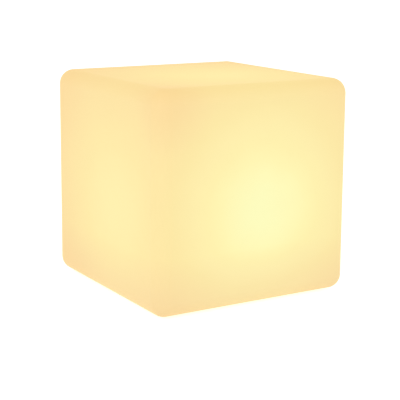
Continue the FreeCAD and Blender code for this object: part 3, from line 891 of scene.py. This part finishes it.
stake_outline = [(0, board_top + stake_round - stake_sink),
                 *arc(stake_flat, board_top - stake_sink, stake_round, 90, 4, 7), (0, board_top)]
smooth_object(repeated(turned(stake_outline, 24), at_corners(board_post_place)), "staked_pin_heads", "lamp",
              cover_plastic)

# ---------------------------------------------------------------- trays, cells and contacts
# Two moulded trays hold a pair of rechargeable cells upright by their ends. Each cell is a steel can in a
# blue shrink sleeve. Nickel strips join them, one under each cell and one over both, and two foam pads press
# them down.
cell_low, cell_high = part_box("battery_cells")
cell_radius = 9.2 * MM
cell_places = [(-(cell_high.x - cell_radius), 0), (cell_high.x - cell_radius, 0)]
cell_round = 0.6 * MM  # of its edges, and how deep its crimp is
sleeve_wall = 0.12 * MM
crimp_height = cell_high.z - 4.0 * MM
crimp_half = 1.2 * MM
terminal_radius = 0.30 * cell_radius
terminal_round = 0.15 * MM


def cell_sleeve_outline():
    """The sleeve follows the can's crimp and is shrunk over both its ends."""
    inner = cell_radius - cell_round
    sleeve_high = cell_high.z - sleeve_wall
    return [
        (0, cell_low.z + 0.05 * MM), (0.55 * cell_radius, cell_low.z + 0.05 * MM),
        (0.55 * cell_radius, cell_low.z), *arc(inner, cell_low.z + cell_round, cell_round, -90, 0, 4),
        (cell_radius, crimp_height - crimp_half), (inner, crimp_height - crimp_half / 3),
        (inner, crimp_height + crimp_half / 3), (cell_radius, crimp_height + crimp_half),
        *arc(inner, sleeve_high - cell_round, cell_round, 0, 90, 4), (0.62 * cell_radius, sleeve_high),
        (0.62 * cell_radius, sleeve_high - 2 * sleeve_wall), (0, sleeve_high - 2 * sleeve_wall),
    ]


def can_top_outline():
    """The can's sunken top, and the terminal that stands up in its middle."""
    plate_high = cell_high.z - 2 * sleeve_wall
    return [
        (0, cell_high.z - 0.6 * MM), (0.60 * cell_radius, cell_high.z - 0.6 * MM),
        (0.60 * cell_radius, plate_high), (0.35 * cell_radius, plate_high),
        *arc(terminal_radius, cell_high.z - terminal_round, terminal_round, 0, 90, 4), (0, cell_high.z),
    ]


def shrink_sleeve():
    finish = Finish("Shrink sleeve", Coat_Weight=0.3, Coat_Roughness=0.25)
    pull = finish.noise(70.0, 3.0, place=finish.stretched(1, 1, 0.15))
    finish.drive(Base_Color=finish.mix(pull, (0.010, 0.065, 0.20), (0.018, 0.10, 0.27)),
                 Roughness=finish.spread(pull, 0.3, 0.7, 0.26, 0.40))
    finish.bump(pull, 0.08 * MM, 0.5)
    return finish.material


def foam():
    """Closed-cell foam: small bubbles cut open at the surface, with painted shade down in their hollows."""
    finish = Finish("Closed-cell foam", Roughness=0.9, Specular_IOR_Level=0.2)
    bubbles = finish.tree.nodes.new("ShaderNodeTexVoronoi")
    finish.link(finish.place, bubbles.inputs["Vector"])
    bubbles.inputs["Scale"].default_value = 1800.0
    hollows_and_shade = bubbles.outputs["Distance"]
    # Painted shade: each bubble's colour darkens towards its deepest point.
    finish.drive(Base_Color=finish.mix(hollows_and_shade, (0.015, 0.015, 0.016), (0.06, 0.06, 0.062)))
    finish.bump(hollows_and_shade, 0.2 * MM, 0.8)
    return finish.material


tray_plastic = moulded_plastic("Tray plastic", (0.74, 0.74, 0.71), 0.42)
for node in ("lower_tray", "upper_tray"):
    weigh_normals(eased(node, node + "_moulded", "lamp", tray_plastic, radius=0.25 * MM))
smooth_object(
    repeated(turned(cell_sleeve_outline()), cell_places), "battery_cells_sleeved", "lamp",
    shrink_sleeve(), ["battery_cells"],
)
nickel = metal("Nickel strip", (0.60, 0.58, 0.54), 0.26, grain=(1, 10, 1))
smooth_object(
    repeated(turned(can_top_outline(), 32), cell_places), "cell_can_tops", "lamp", nickel
)
for node in ("lower_contacts", "upper_contact"):
    eased(node, node + "_strip", "lamp", nickel, radius=0.12 * MM)
eased("cell_pads", "cell_pads_foam", "lamp", foam(), radius=0.4 * MM, segments=3)

# ---------------------------------------------------------------- heat spreader and LED board
# A stamped aluminium plate is bonded between the tube and the cap. On it, over a grey silicone pad, lies the
# white board with sixteen warm white LEDs.
led_low, led_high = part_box("leds")
led_side = 5.0 * MM
led_corner = 0.3 * MM
led_pitch = (led_high.x - led_low.x - led_side) / 3
led_rows = [(number - 1.5) * led_pitch for number in range(4)]
led_places = [(x, y) for y in led_rows for x in led_rows]
led_well = 1.9 * MM  # radius of the round well that holds the phosphor
led_well_depth = 0.5 * MM
led_well_taper = 0.86


def led_packages():
    """White square packages with a round well for the phosphor."""
    bm = welled_block(bmesh.new(), led_side / 2, led_corner, led_low.z, led_high.z, (0, 0),
                      led_well, (0, 0), led_well_depth, led_well_taper)
    return repeated(bm, led_places)


def led_fillings():
    """Phosphor in the wells, slightly domed."""
    floor = led_high.z - led_well_depth + 0.02 * MM
    outline = [(0, floor), (led_well_taper * led_well, floor), (0.97 * led_well, led_high.z - 0.08 * MM),
               (0.6 * led_well, led_high.z - 0.03 * MM), (0, led_high.z)]
    return repeated(turned(outline, 32), led_places)


weigh_normals(eased(
    "heat_spreader", "heat_spreader_plate", "lamp",
    metal("Rolled aluminium", (0.74, 0.75, 0.76), 0.33, grain=(1, 25, 25), per_metre=500.0), radius=0.2 * MM,
))
eased("thermal_pad", "thermal_pad_sheet", "lamp",
      soft_rubber("Pad silicone", (0.22, 0.25, 0.28), 0.6, 0.03 * MM), radius=0.1 * MM)
weigh_normals(eased(
    "led_board", "led_board_mask", "lamp",
    solder_mask("White solder mask", (0.66, 0.66, 0.62), (0.82, 0.82, 0.79),
                track_width=12.0 * MM, track_length=24.0 * MM, gap=0.2 * MM), radius=0.12 * MM,
))
smooth_object(
    led_packages(), "led_packages", "lamp",
    moulded_plastic("LED package", (0.82, 0.82, 0.80), 0.35, 0.01 * MM), ["leds"],
)
smooth_object(led_fillings(), "led_phosphor", "lamp",
              phosphor("Warm phosphor", (0.95, 0.74, 0.28), 1.2))

# ---------------------------------------------------------------- opal cap
# A cap of opal polycarbonate, bonded over the LED board, which spreads the light. Seen through an opened
# shell it glows nearly evenly, brightest over the LEDs.
cap_low, cap_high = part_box("light_cap")
cap_corner = 10.2 * MM
cap_round = 8.5 * MM
cap_wall = 1.8 * MM


def cap_skin():
    bm = bmesh.new()
    top = flat_square(bm, cap_high.x, cap_corner, cap_low.z)
    top = raise_face(bm, top, cap_high.z - cap_low.z)
    bmesh.ops.bevel(
        bm, geom=top.edges[:], offset=cap_round, segments=10, profile=0.5, affect="EDGES", material=-1
    )
    bmesh.ops.recalc_face_normals(bm, faces=bm.faces)
    return bm


def opal():
    finish = Finish("Opal polycarbonate", Roughness=0.35, Emission_Strength=1.0)
    over_leds = finish.distance((0, 0, led_high.z + 10 * MM))
    glow = finish.spread(over_leds, 15 * MM, 55 * MM)
    cloudy = finish.noise(120.0, 3.0)
    finish.drive(Emission_Color=finish.ramp(glow, (0.0, (0.72, 0.64, 0.40)), (1.0, (0.60, 0.46, 0.24))),
                 Base_Color=finish.mix(cloudy, (0.30, 0.29, 0.26), (0.33, 0.32, 0.29)))
    finish.bump(cloudy, 0.03 * MM, 0.5)
    return finish.material


cap = smooth_object(cap_skin(), "light_cap_opal", "lamp", opal(), ["light_cap"])
thin_wall(cap, cap_wall)
weigh_normals(cap)

# ---------------------------------------------------------------- leads
# Two stiff leads rise past the cells, from the control board to the LED board. Each is insulated wire,
# stripped at its upper end, where it is soldered.
strip = 1.6 * MM  # bare length

for node, slot, colour in (
    ("positive_lead", "lead_red", (0.42, 0.012, 0.010)),
    ("negative_lead", "lead_black", (0.020, 0.020, 0.022)),
):
    low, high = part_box(node)
    place = ((low.x + high.x) / 2, (low.y + high.y) / 2)
    radius = (high.x - low.x) / 2
    insulation = turned([(0, low.z), (radius, low.z), (radius, high.z - strip), (0, high.z - strip)], 24)
    smooth_object(
        repeated(insulation, [place]), node + "_insulation", "lamp",
        soft_rubber("Insulation " + slot, colour, 0.4, 0.005 * MM), [node],
    )
    wire = turned([(0, high.z - 1.2 * strip), (0.6 * radius, high.z - 1.2 * strip),
                   *arc(0.3 * radius, high.z - 0.3 * radius, 0.3 * radius, 0, 90, 4), (0, high.z)], 16)
    smooth_object(repeated(wire, [place]), node + "_wire", "lamp", tin)

# ---------------------------------------------------------------- studio
# A pale floor that runs out of sight, white where nothing shades it, under soft even light: a broad lamp
# overhead, one at each side, and a white room round them.
floor_reach = 60.0
floor_glow = 0.6
room_level = 0.55  # of the light that it gives; what is seen of it is fully white


def seen(nodes):
    """1 on a ray that shows the studio, straight, reflected or through a clear piece, and 0 on others."""
    ray = nodes.tree.nodes.new("ShaderNodeLightPath").outputs
    shown = nodes.math("MAXIMUM", ray["Is Camera Ray"], ray["Is Glossy Ray"])
    return nodes.math("MAXIMUM", shown, ray["Is Transmission Ray"])


paint = Finish("Studio floor", Roughness=0.7, Base_Color=(0.9, 0.9, 0.9, 1), Emission_Color=(1, 1, 1, 1))
paint.drive(Emission_Strength=paint.math("MULTIPLY", seen(paint), floor_glow))
bm = bmesh.new()
bmesh.ops.create_grid(bm, x_segments=1, y_segments=1, size=floor_reach)
floor_mesh = bpy.data.meshes.new("studio_floor")
bm.to_mesh(floor_mesh)
bm.free()
floor_mesh.materials.append(paint.material)
studio_floor = bpy.data.objects.new("studio_floor", floor_mesh)
bpy.context.scene.collection.objects.link(studio_floor)

world = bpy.data.worlds.new("White room")
bpy.context.scene.world = world
world.use_nodes = True
room = Nodes(world.node_tree)
background = world.node_tree.nodes["Background"].inputs
background["Color"].default_value = (1, 1, 1, 1)
room.link(room.spread(seen(room), 0.0, 1.0, room_level, 1.0), background["Strength"])

for name, place, size, power in (
    ("Overhead", (-0.2, -0.3, 1.6), 1.6, 1.5),
    ("Left side", (-1.5, -0.8, 0.8), 1.2, 10.5),
    ("Right side", (1.3, -1.5, 0.7), 1.2, 7.0),
):
    lamp = bpy.data.lights.new(name, "AREA")
    lamp.size = size
    lamp.energy = power
    light = bpy.data.objects.new(name, lamp)
    light.location = place
    light.rotation_euler = (Vector((0, 0, 0.1)) - Vector(place)).to_track_quat("-Z", "Y").to_euler()
    bpy.context.scene.collection.objects.link(light)

# ---------------------------------------------------------------- camera
# Where the photograph was taken from: a little above the cube, with one face turned far away on the left.
# The pan, tilt and roll are how it points away from the middle of the cube.
camera_azimuth = math.radians(-31.4294)
camera_elevation = math.radians(11.2808)
camera_distance = 1.0654
camera_pan = math.radians(-0.0946)
camera_tilt = math.radians(-1.1467)
camera_roll = math.radians(0.4332)

camera = bpy.data.objects.new("Camera", bpy.data.cameras.new("Camera"))
bpy.context.scene.collection.objects.link(camera)
bpy.context.scene.camera = camera
camera.data.sensor_width = 36.0
camera.data.lens = 102.26
shell_centre = (shell_low + shell_high) / 2
back = Vector((
    math.sin(camera_azimuth) * math.cos(camera_elevation),
    -math.cos(camera_azimuth) * math.cos(camera_elevation),
    math.sin(camera_elevation),
))
right = Vector((0, 0, 1)).cross(back).normalized()
looking = Matrix((right, back.cross(right), back))
aim = Matrix.Rotation(-camera_roll, 3, "Z") @ Matrix.Rotation(-camera_tilt, 3, "X")
aim = aim @ Matrix.Rotation(-camera_pan, 3, "Y")
facing = (aim @ looking).transposed().to_4x4()
camera.matrix_world = Matrix.Translation(shell_centre + back * camera_distance) @ facing

bpy.context.scene.view_settings.view_transform = "Standard"
